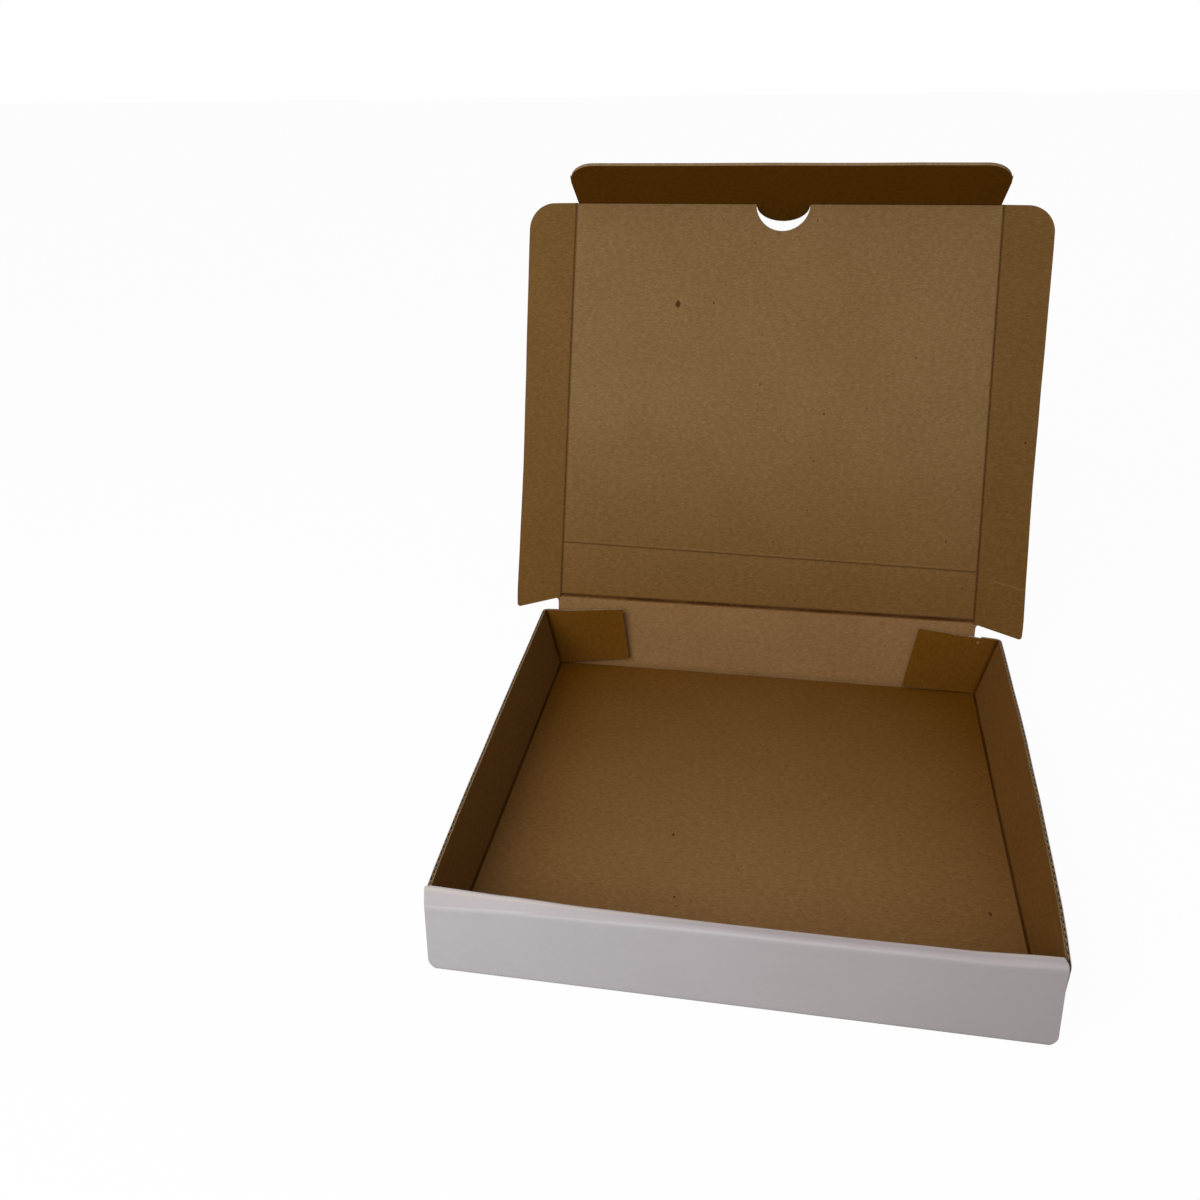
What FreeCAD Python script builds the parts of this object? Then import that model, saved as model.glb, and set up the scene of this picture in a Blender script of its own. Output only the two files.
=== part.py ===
import FreeCAD, Part
import math
import os
import re
import Sketcher

# Pizza box folded from one blank of thin fluted board, standing open.
# Origin: centre of the tray's underside. +X to the right, +Y to the hinged back, +Z up.
# Lengths are millimetres and angles are degrees.

V = FreeCAD.Vector
X_AXIS = V(1, 0, 0)
Y_AXIS = V(0, 1, 0)
Z_AXIS = V(0, 0, 1)

SIZES = {
    # The board and the folded tray
    "board": 1.6,
    "box_width": 217.0,
    "box_depth": 218.0,
    "front_height": 35.7,
    "roll_space": 1.8,
    "front_corner_radius": 3.0,
    "side_front_height": 35.2,
    "side_rear_height": 33.8,
    "back_height": 38.5,
    "back_lean": 11.5,
    "rim_radius": 3.0,
    # How far the front wall's ends stand out past half the box's width
    "right_end_top": -1.5,
    "right_end_foot": 0.3,
    "left_end_top": 0.2,
    "left_end_foot": 1.2,
    # The same for the foot and the rim of each side wall, which bows out towards the back
    "right_front_foot": -0.5,
    "right_middle_foot": 0.6,
    "right_rear_foot": 2.6,
    "right_front_rim": 0.1,
    "right_middle_rim": 6.8,
    "right_rear_rim": 10.1,
    "left_front_foot": -1.7,
    "left_middle_foot": -1.7,
    "left_rear_foot": -1.7,
    "left_front_rim": 0.7,
    "left_middle_rim": 3.6,
    "left_rear_rim": 5.3,
    # Front corner tabs, held inside the rolled front wall
    "front_tab_length": 36.0,
    "front_tab_play": 1.0,
    # Rear corner tabs, in front of the back wall
    "corner_lap": 0.3,
    "corner_foot": 2.2,
    "rim_step": 1.0,
    "wall_gap": 0.4,
    "right_tab_reach": 35.1,
    "right_tab_foot": 3.8,
    "right_tab_top": 34.2,
    "right_tab_skew": 6.1,
    "right_tab_lean": 11.5,
    "left_tab_reach": 40.7,
    "left_tab_foot": 8.3,
    "left_tab_top": 35.5,
    "left_tab_skew": 4.2,
    "left_tab_lean": 6.5,
    # Lock lugs at the foot of the rolled front wall
    "lug_width": 30.0,
    "lug_spacing": 120.0,
    "lug_play": 0.4,
    "lug_recess": 0.3,
    # The lid with its ears
    "lid_width": 211.6,
    "lid_length": 204.5,
    "lid_angle": 110.9,
    "hinge_gap": 0.5,
    "side_gap": 0.3,
    "second_crease": 27.0,
    "crease_slant": 0.94,
    "crease_depth": 0.5,
    "crease_width": 1.4,
    "ear_width": 24.9,
    "ear_foot_width": 23.7,
    "ear_drop": 7.8,
    "ear_radius": 13.0,
    "ear_tip_radius": 1.5,
    "ear_fold": 3.0,
    # The tuck flap and its finger notch
    "tuck_height": 31.0,
    "tuck_fold": 67.0,
    "tuck_radius": 13.0,
    "tuck_inset": 1.2,
    "tuck_bulge": 1.3,
    "notch_radius": 13.4,
    "notch_gap": 0.4,
}

# Places worked out from the sizes, as expressions
HALF_BOARD = "board / 2"
HALF_WIDTH = "box_width / 2"
FRONT = "(0 - box_depth / 2)"
BACK = "box_depth / 2"
ROLL_RADIUS = "(board + roll_space / 2)"
HINGE_Y = "(box_depth / 2 - board / 2 + back_height * sin(back_lean))"
HINGE_Z = "(board / 2 + back_height * cos(back_lean))"
WALL_END = "(box_depth / 2 - board + corner_lap)"
PANEL_START = "(board / 2 + hinge_gap)"
MOON_RADIUS = "(notch_radius - notch_gap)"

doc = FreeCAD.newDocument("PizzaBox")

# The sheet of driving sizes
sheet = doc.addObject("Spreadsheet::Sheet", "Sizes")
for row, (alias, value) in enumerate(SIZES.items(), start=1):
    sheet.set(f"A{row}", alias)
    sheet.set(f"B{row}", str(value))
    sheet.setAlias(f"B{row}", alias)
doc.recompute()


def sized(text):
    """The expression with the sheet's name in front of each size."""
    return re.sub(r"[a-z_]+", lambda word: f"Sizes.{word[0]}" if word[0] in SIZES else word[0], text)


def number(text):
    return float(sheet.evalExpression(sized(text)))


def minus(text):
    return f"(0 - ({text}))"


def new_body(name):
    body = doc.addObject("PartDesign::Body", name)
    body.Label = name
    return body


def new_sketch(body, name, role, base=("0", "0", "0"), axis=X_AXIS, angle="0"):
    """A sketch on one of the body's own planes, moved and turned by expressions."""
    sketch = body.newObject("Sketcher::SketchObject", name)
    plane = next(item for item in body.Origin.OriginFeatures if item.Role == role)
    sketch.AttachmentSupport = [(plane, "")]
    sketch.MapMode = "FlatFace"
    sketch.AttachmentOffset = FreeCAD.Placement(V(0, 0, 0), FreeCAD.Rotation(axis, 1.0))
    for letter, text in zip("xyz", base):
        sketch.setExpression(f"AttachmentOffset.Base.{letter}", sized(text))
    sketch.setExpression("AttachmentOffset.Rotation.Angle", sized(angle))
    return sketch


def pin_point(sketch, geo, pos, x, y, axes="XY"):
    """Hold a point of the sketch at the place that two expressions give."""
    for letter, text in zip("XY", (x, y)):
        if letter in axes:
            index = sketch.addConstraint(
                Sketcher.Constraint(f"Distance{letter}", -1, 1, geo, pos, number(text)))
            sketch.setExpression(f"Constraints[{index}]", sized(text))


def arc_to(x, y, centre_x, centre_y, turn):
    """A step of an outline: an arc to a point, turning left or right about a centre."""
    return (x, y, centre_x, centre_y, turn)


def draw_outline(sketch, *steps):
    """A closed outline. Each step is the point that its edge ends at, the first step's edge comes last."""
    points = [V(number(step[0]), number(step[1]), 0) for step in steps]
    order = list(range(1, len(steps))) + [0]
    edges = []
    for index in order:
        begin, end, step = points[index - 1], points[index], steps[index]
        if len(step) == 2:
            geo = sketch.addGeometry(Part.LineSegment(begin, end), False)
            edges.append((geo, 1, 2))
            continue
        centre = V(number(step[2]), number(step[3]), 0)
        left = step[4] == "left"
        first, last = (begin, end) if left else (end, begin)
        angles = [math.atan2(point.y - centre.y, point.x - centre.x) for point in (first, last)]
        circle = Part.Circle(centre, Z_AXIS, (begin - centre).Length)
        geo = sketch.addGeometry(Part.ArcOfCircle(circle, *angles), False)
        edges.append((geo, 1, 2) if left else (geo, 2, 1))
    for edge, following in zip(edges, edges[1:] + edges[:1]):
        sketch.addConstraint(Sketcher.Constraint("Coincident", edge[0], edge[2], following[0], following[1]))
    for (geo, begin_pos, _), index in zip(edges, order):
        pin_point(sketch, geo, begin_pos, *steps[index - 1][:2])
        if len(steps[index]) > 2:
            chord = points[index] - points[index - 1]
            free_axis = "Y" if abs(chord.x) > abs(chord.y) else "X"
            pin_point(sketch, geo, 3, *steps[index][2:4], axes=free_axis)


def draw_circle(sketch, x, y, radius):
    geo = sketch.addGeometry(Part.Circle(V(number(x), number(y), 0), Z_AXIS, number(radius)), False)
    pin_point(sketch, geo, 3, x, y)
    index = sketch.addConstraint(Sketcher.Constraint("Radius", geo, number(radius)))
    sketch.setExpression(f"Constraints[{index}]", sized(radius))


def draw_rectangle(sketch, x_low, x_high, y_low, y_high):
    draw_outline(sketch, (x_low, y_low), (x_high, y_low), (x_high, y_high), (x_low, y_high))


def pad(body, name, sketch, length, both_ways=False, backwards=False):
    feature = body.newObject("PartDesign::Pad", name)
    feature.Profile = sketch
    feature.setExpression("Length", sized(length))
    feature.SideType = "Symmetric" if both_ways else "One side"
    feature.Reversed = backwards
    doc.recompute()
    return feature


def cut(body, name, sketch, length=None):
    """Cut the outline out of the body, both ways from its plane, and right through if no length is given."""
    before = body.Shape.Volume
    feature = body.newObject("PartDesign::Pocket", name)
    feature.Profile = sketch
    feature.SideType = "Symmetric"
    if length is None:
        feature.Type = "ThroughAll"
    else:
        feature.setExpression("Length", sized(length))
    doc.recompute()
    if body.Shape.Volume >= before:
        raise RuntimeError(f"{name} cuts nothing")
    return feature


def loft(body, name, sections, ruled=False):
    before = body.Shape.Volume
    feature = body.newObject("PartDesign::AdditiveLoft", name)
    feature.Profile = (sections[0], [""])
    feature.Sections = [(section, [""]) for section in sections[1:]]
    feature.Ruled = ruled
    doc.recompute()
    if body.Shape.Volume <= before:
        raise RuntimeError(f"{name} adds nothing")
    return feature


# The tray: floor
def add_floor(body):
    sketch = new_sketch(body, "floor_outline", "XY_Plane")
    places = (("front", f"{FRONT} + {HALF_BOARD}"), ("middle", "0"), ("rear", f"{BACK} - {HALF_BOARD}"))
    right = [(f"{HALF_WIDTH} + right_{place}_foot - {HALF_BOARD}", y) for place, y in places]
    left = [(minus(f"{HALF_WIDTH} + left_{place}_foot - {HALF_BOARD}"), y) for place, y in reversed(places)]
    draw_outline(sketch, *right, *left)
    pad(body, "floor", sketch, "board")
    # Slots for the lock lugs, under the front wall's inner ply
    slots = new_sketch(body, "slot_outline", "XY_Plane")
    ply = f"{FRONT} + 2 * {ROLL_RADIUS}"
    for side in (-1, 1):
        middle = f"{side} * lug_spacing / 2"
        draw_rectangle(slots, f"{middle} - lug_width / 2 - lug_play", f"{middle} + lug_width / 2 + lug_play",
                       f"{ply} - board - lug_play", f"{ply} + lug_play")
    cut(body, "lug_slots", slots)


def trim_front_end(body, name, side, wall_middle, reach):
    """Cut one end of the front wall to its slant and its round lower corner."""
    turn = "left" if side > 0 else "right"
    top, foot = (f"{side} * ({HALF_WIDTH} + {name}_end_{place})" for place in ("top", "foot"))
    beyond = f"{side} * {reach}"
    inwards = f"{side} * front_corner_radius"
    sketch = new_sketch(body, f"{name}_end_outline", "XZ_Plane", base=("0", "0", minus(wall_middle)))
    draw_outline(
        sketch,
        (foot, minus("board")),
        (f"{foot} - {inwards}", minus("board")),
        (f"{foot} - {inwards}", "0"),
        arc_to(foot, "front_corner_radius", f"{foot} - {inwards}", "front_corner_radius", turn),
        (top, "front_height + board"),
        (beyond, "front_height + board"),
        (beyond, minus("board")))
    cut(body, f"{name}_front_end", sketch, f"4 * {ROLL_RADIUS}")


# The tray: front wall, rolled over a hollow and down again inside
def add_front_wall(body):
    shoulder = f"front_height - {ROLL_RADIUS}"
    outer = FRONT
    inner = f"{FRONT} + 2 * {ROLL_RADIUS}"
    middle = f"{FRONT} + {ROLL_RADIUS}"
    sketch = new_sketch(body, "front_profile", "YZ_Plane")
    draw_outline(
        sketch,
        arc_to(outer, HALF_BOARD, f"{outer} + {HALF_BOARD}", HALF_BOARD, "right"),
        (outer, shoulder),
        arc_to(inner, shoulder, middle, shoulder, "right"),
        (inner, "board"),
        (f"{inner} - board", "board"),
        (f"{inner} - board", shoulder),
        arc_to(f"{outer} + board", shoulder, middle, shoulder, "left"),
        (f"{outer} + board", HALF_BOARD))
    reach = "(box_width + 4 * board)"
    pad(body, "front_wall", sketch, reach, both_ways=True)
    for name, side in (("right", 1), ("left", -1)):
        trim_front_end(body, name, side, middle, reach)
    lugs = new_sketch(body, "lug_outline", "XY_Plane", base=("0", "0", "lug_recess"))
    for side in (-1, 1):
        mid_x = f"{side} * lug_spacing / 2"
        draw_rectangle(lugs, f"{mid_x} - lug_width / 2", f"{mid_x} + lug_width / 2", f"{inner} - board", inner)
    pad(body, "lock_lugs", lugs, "board - lug_recess")


# The tray: side walls, each a sheet that leans and bows outwards towards the back
def add_side_wall(body, name, side):
    stations = (
        ("front", f"{FRONT} + {HALF_BOARD}", "side_front_height"),
        ("middle", "0", "(side_front_height + side_rear_height) / 2"),
        ("rear", WALL_END, "side_rear_height"))
    turn = "left" if side > 0 else "right"
    inwards = f"{side} * board"
    sections = []
    for station, y, height in stations:
        foot = f"{side} * ({HALF_WIDTH} + {name}_{station}_foot)"
        rim = f"{side} * ({HALF_WIDTH} + {name}_{station}_rim)"
        sketch = new_sketch(body, f"{name}_{station}_section", "XZ_Plane", base=("0", "0", minus(y)))
        draw_outline(
            sketch,
            arc_to(foot, HALF_BOARD, f"{foot} - {inwards} / 2", HALF_BOARD, turn),
            (rim, height),
            (f"{rim} - {inwards}", height),
            (f"{foot} - {inwards}", HALF_BOARD))
        sections.append(sketch)
    loft(body, f"{name}_wall", sections)


def round_rear_rims(body):
    """Round off the top rear corners of both side walls."""
    start, foot = f"{WALL_END} - rim_radius", "side_rear_height - rim_radius"
    sketch = new_sketch(body, "rim_corner_outline", "YZ_Plane")
    draw_outline(
        sketch,
        (start, "side_rear_height"),
        arc_to(WALL_END, foot, start, foot, "right"),
        (f"{WALL_END} + board", foot),
        (f"{WALL_END} + board", "side_rear_height + board"),
        (start, "side_rear_height + board"))
    cut(body, "rear_rim_corners", sketch)


# The tray: back wall, which leans back and ends in the lid's hinge crease
def add_back_wall(body):
    foot_y, foot_z = f"({BACK} - {HALF_BOARD})", f"({HALF_BOARD})"
    out_y, out_z = f"{HALF_BOARD} * cos(back_lean)", f"{HALF_BOARD} * sin(back_lean)"
    sketch = new_sketch(body, "back_profile", "YZ_Plane")
    draw_outline(
        sketch,
        arc_to(f"{foot_y} - {out_y}", f"{foot_z} + {out_z}", foot_y, foot_z, "right"),
        (f"{HINGE_Y} - {out_y}", f"{HINGE_Z} + {out_z}"),
        arc_to(f"{HINGE_Y} + {out_y}", f"{HINGE_Z} - {out_z}", HINGE_Y, HINGE_Z, "right"),
        (f"{foot_y} + {out_y}", f"{foot_z} - {out_z}"))
    pad(body, "back_wall", sketch, "lid_width - 2 * side_gap", both_ways=True)


# The tray: rear corner tabs, from each side wall's rear end across the back wall
def add_rear_tab(body, name, side):
    edge_x = f"({HALF_WIDTH} + {name}_rear_foot - {HALF_BOARD})"
    spread = f"({name}_rear_rim - {name}_rear_foot)"
    wall_height = f"(side_rear_height - {HALF_BOARD})"
    corner_turn = f"{side} * atan({spread} / {wall_height})"
    corner_top = f"sqrt({wall_height} ^ 2 + {spread} ^ 2) - rim_step"
    corner = new_sketch(body, f"{name}_tab_corner", "YZ_Plane",
                        base=("0", HALF_BOARD, f"{side} * {edge_x}"), angle=corner_turn)
    draw_rectangle(corner, f"{BACK} - 2 * board", f"{BACK} - board", f"corner_foot - {HALF_BOARD}", corner_top)
    rise = f"({name}_tab_top - {name}_tab_foot)"
    free_turn = f"{side} * atan({name}_tab_skew / {rise})"
    free_x = f"{side} * ({HALF_WIDTH} - {name}_tab_reach)"
    free = new_sketch(body, f"{name}_tab_end", "YZ_Plane",
                      base=("0", f"{name}_tab_foot", free_x), angle=free_turn)
    foot_y = f"({BACK} - {HALF_BOARD} - {HALF_BOARD} / cos(back_lean) - wall_gap)"
    top_y = f"({foot_y} + {rise} * tan({name}_tab_lean))"
    top_v = f"sqrt({rise} ^ 2 + {name}_tab_skew ^ 2)"
    draw_outline(free, (f"{foot_y} - board", "0"), (foot_y, "0"), (top_y, top_v), (f"{top_y} - board", top_v))
    loft(body, f"{name}_rear_tab", [corner, free], ruled=True)


# The tray: front corner tabs, inside the rolled front wall
def add_front_tab(body, name, side):
    middle_y = f"({FRONT} + {ROLL_RADIUS})"
    sketch = new_sketch(body, f"{name}_front_tab_outline", "XZ_Plane", base=("0", "0", minus(middle_y)))
    draw_rectangle(sketch, f"{side} * ({HALF_WIDTH} + {name}_front_foot - {HALF_BOARD})",
                   f"{side} * ({HALF_WIDTH} - front_tab_length)",
                   "board + lug_play", f"front_height - {ROLL_RADIUS} - front_tab_play")
    pad(body, f"{name}_front_tab", sketch, "board", both_ways=True)


def make_tray():
    body = new_body("tray")
    add_floor(body)
    add_front_wall(body)
    for name, side in (("right", 1), ("left", -1)):
        add_side_wall(body, name, side)
    round_rear_rims(body)
    add_back_wall(body)
    for name, side in (("right", 1), ("left", -1)):
        add_rear_tab(body, name, side)
        add_front_tab(body, name, side)
    return body


# The lid, drawn flat: its hinge lies on X, its panel runs along +Y, its inner face looks along +Z
def add_ear(body, name, side):
    sketch = new_sketch(body, f"{name}_ear_outline", "XY_Plane", base=(f"{side} * lid_width / 2", "0", "0"),
                        axis=Y_AXIS, angle=f"{side} * ear_fold")
    turn = "left" if side > 0 else "right"
    across = lambda text: f"{side} * ({text})"
    root, cheek, rim, low_rim = minus(HALF_BOARD), "2 * side_gap", "ear_width", "ear_foot_width"
    draw_outline(
        sketch,
        (across(root), PANEL_START),
        (across(cheek), PANEL_START),
        (across(cheek), "0"),
        (across(f"{low_rim} - ear_tip_radius"), minus("ear_drop")),
        arc_to(across(low_rim), "ear_tip_radius - ear_drop",
               across(f"{low_rim} - ear_tip_radius"), "ear_tip_radius - ear_drop", turn),
        (across(rim), "lid_length - ear_radius"),
        arc_to(across(f"{rim} - ear_radius"), "lid_length",
               across(f"{rim} - ear_radius"), "lid_length - ear_radius", turn),
        (across(root), "lid_length"))
    pad(body, f"{name}_ear", sketch, "board", both_ways=True)


def draw_score(sketch, middle):
    """The small V that a crease presses into the inner face."""
    face, above = HALF_BOARD, "board"
    low, high = f"{middle} - crease_width / 2", f"{middle} + crease_width / 2"
    bottom = f"{face} - crease_depth"
    draw_outline(sketch, (low, face), (middle, bottom), (high, face), (high, above), (low, above))


def make_lid():
    body = new_body("lid")
    profile = new_sketch(body, "lid_profile", "YZ_Plane")
    draw_outline(
        profile,
        (PANEL_START, minus(HALF_BOARD)),
        ("lid_length", minus(HALF_BOARD)),
        arc_to("lid_length", HALF_BOARD, "lid_length", "0", "left"),
        (PANEL_START, HALF_BOARD))
    pad(body, "lid_panel", profile, "lid_width", both_ways=True)
    for name, side in (("right", 1), ("left", -1)):
        add_ear(body, name, side)
    notch = new_sketch(body, "notch_outline", "XY_Plane")
    draw_circle(notch, "0", "lid_length", "notch_radius")
    cut(body, "finger_notch", notch)
    crease = new_sketch(body, "second_crease_profile", "YZ_Plane", axis=Y_AXIS, angle="0 - crease_slant")
    draw_score(crease, "second_crease")
    cut(body, "second_crease_score", crease)
    for name, side in (("right", 1), ("left", -1)):
        score = new_sketch(body, f"{name}_ear_crease_profile", "XZ_Plane")
        draw_score(score, f"{side} * lid_width / 2")
        cut(body, f"{name}_ear_score", score)
    return body


# The tuck flap, drawn flat in the same way from the crease that it turns on
def make_tuck_flap():
    body = new_body("tuck_flap")
    foot = "(lid_width / 2 - tuck_inset)"
    wide = f"({foot} + tuck_bulge)"
    corner_x, corner_y = f"({wide} - tuck_radius)", "(tuck_height - tuck_radius)"
    sketch = new_sketch(body, "tuck_outline", "XY_Plane")
    draw_outline(
        sketch,
        (foot, PANEL_START),
        (wide, corner_y),
        arc_to(corner_x, "tuck_height", corner_x, corner_y, "left"),
        (minus(corner_x), "tuck_height"),
        arc_to(minus(wide), corner_y, minus(corner_x), corner_y, "left"),
        (minus(foot), PANEL_START),
        (minus(MOON_RADIUS), PANEL_START),
        (minus(MOON_RADIUS), "0"),
        arc_to(MOON_RADIUS, "0", "0", "0", "left"),
        (MOON_RADIUS, PANEL_START))
    pad(body, "tuck_panel", sketch, "board", both_ways=True)
    return body


def stand(body, y, z, angle):
    """Turn a flat body about X and lift it to its crease."""
    body.Placement = FreeCAD.Placement(V(0, 0, 0), FreeCAD.Rotation(X_AXIS, 1.0))
    body.setExpression(".Placement.Base.y", sized(y))
    body.setExpression(".Placement.Base.z", sized(z))
    body.setExpression(".Placement.Rotation.Angle", sized(angle))


tray = make_tray()
lid = make_lid()
stand(lid, HINGE_Y, HINGE_Z, "180 - lid_angle")
tuck_flap = make_tuck_flap()
stand(tuck_flap, f"{HINGE_Y} - lid_length * cos(lid_angle)", f"{HINGE_Z} + lid_length * sin(lid_angle)",
      "180 - lid_angle + tuck_fold")
doc.recompute()

# Every feature is sound before anything is written
for item in doc.Objects:
    if "Invalid" in item.State or "Error" in item.State:
        raise RuntimeError(f"{item.Name} failed: {item.State}")
pieces = (tray, lid, tuck_flap)
for piece in pieces:
    if piece.Shape.isNull() or not piece.Shape.isValid() or len(piece.Shape.Solids) != 1:
        raise RuntimeError(f"{piece.Label} is not one sound solid")

os.makedirs("parts", exist_ok=True)
for piece in pieces:
    piece.Shape.exportStep(f"parts/{piece.Label}.step")
    box = piece.Shape.BoundBox
    print(f"{piece.Label}: {piece.Shape.Volume / 1000:.1f} cm3, x {box.XMin:.2f} to {box.XMax:.2f}, "
          f"y {box.YMin:.2f} to {box.YMax:.2f}, z {box.ZMin:.2f} to {box.ZMax:.2f}")
print(f"lid hinge at y {number(HINGE_Y):.4f}, z {number(HINGE_Z):.4f}")
print(f"tuck crease at y {tuck_flap.Placement.Base.y:.4f}, z {tuck_flap.Placement.Base.z:.4f}")
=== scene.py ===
import math

import bmesh
import bpy
from mathutils import Matrix, Vector, noise


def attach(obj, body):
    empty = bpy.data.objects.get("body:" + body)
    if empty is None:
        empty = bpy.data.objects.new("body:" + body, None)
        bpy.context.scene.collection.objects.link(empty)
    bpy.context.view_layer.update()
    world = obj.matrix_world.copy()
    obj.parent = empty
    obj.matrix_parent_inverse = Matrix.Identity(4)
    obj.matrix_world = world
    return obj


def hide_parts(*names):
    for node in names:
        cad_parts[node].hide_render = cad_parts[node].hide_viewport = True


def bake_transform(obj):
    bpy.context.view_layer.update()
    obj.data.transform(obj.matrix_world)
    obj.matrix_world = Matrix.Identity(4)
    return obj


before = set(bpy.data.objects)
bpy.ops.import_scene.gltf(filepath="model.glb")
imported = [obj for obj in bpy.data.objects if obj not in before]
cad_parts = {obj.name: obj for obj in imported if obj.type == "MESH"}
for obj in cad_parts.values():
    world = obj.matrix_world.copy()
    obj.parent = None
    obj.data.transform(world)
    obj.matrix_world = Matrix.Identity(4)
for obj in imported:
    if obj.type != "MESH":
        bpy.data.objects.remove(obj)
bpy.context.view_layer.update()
print("frame loaded:", ", ".join(sorted(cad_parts)))

mm = 0.001  # the pieces are laid out in millimetres and made in metres

board = {
    "thick": 1.6,
    "liner": 0.24,  # each paper face
    "medium": 0.17,  # the paper of the flutes
    "pitch": 3.45,  # from flute to flute
    "loose": 1.6,  # how unevenly the flutes follow each other
    "open": 4.5,  # how deep an edge across the flutes is hollow
    "bend": 1.0,  # the middle of the board at a fold
    "whiteLip": 106.0,  # past this distance from the middle the outer paper's own edge is white
    "seed": 7,
    "weld": 0.004,
    "sliver": 0.001,
    "sharp": math.radians(45),
}
half = board["thick"] / 2
kraftSide, printSide, cutSide = 0, 1, 2  # material slots of every folded piece

# The board: skins, rims and hollow edges


def lerp(low, high, share):
    return low + (high - low) * share


def spread(low, high, count):
    return [lerp(low, high, index / count) for index in range(count + 1)]


def within(value):
    # A share, kept from 0 to 1
    return min(1.0, max(0.0, value))


def roundDrop(radius, over):
    # How far the edge falls away where a corner of this radius is rounded, over past its beginning
    return radius - math.sqrt(max(0.0, radius ** 2 - over ** 2)) if over > 0 else 0.0


def distances(points):
    # How far along a line each of its points lies
    travelled = [0.0]
    for before, after in zip(points, points[1:]):
        travelled.append(travelled[-1] + (after - before).length)
    return travelled


def addObject(name, data):
    made = bpy.data.objects.new(name, data)
    bpy.context.scene.collection.objects.link(made)
    return made


def addRow(grids, spots):
    # One more row of a sheet: each spot holds one value for every grid
    for grid, values in zip(grids, zip(*spots)):
        grid.append(list(values))


def quadratic(front, middle, rear, share):
    # A smooth line through three values, at 0, 0.5 and 1
    bow = middle - (front + rear) / 2
    return lerp(front, rear, share) + 4 * bow * share * (1 - share)


def throughPoints(points, value):
    # A gentle line through (place, height) pairs
    if value <= points[0][0]:
        return points[0][1]
    for (place, height), (nextPlace, nextHeight) in zip(points, points[1:]):
        if value <= nextPlace:
            share = (value - place) / (nextPlace - place)
            return lerp(height, nextHeight, share * share * (3 - 2 * share))
    return points[-1][1]


def bentLine(corners, reaches, steps):
    # A run of straight stretches whose inner corners are rounded, always with the same number of points
    points = [corners[0]]
    for before, corner, after, reach in zip(corners, corners[1:], corners[2:], reaches):
        start = corner + (before - corner).normalized() * reach
        end = corner + (after - corner).normalized() * reach
        for share in spread(0, 1, steps):
            points.append(start.lerp(corner, share).lerp(corner.lerp(end, share), share))
    points.append(corners[-1])
    return points


def filledLine(points, gaps):
    # More points on the stretches that gaps names: {index of the stretch: number of parts}
    filled = []
    for index, (start, end) in enumerate(zip(points, points[1:])):
        filled.append(start)
        parts = gaps.get(index, 1)
        for part in range(1, parts):
            filled.append(start.lerp(end, part / parts))
    filled.append(points[-1])
    return filled


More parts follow.
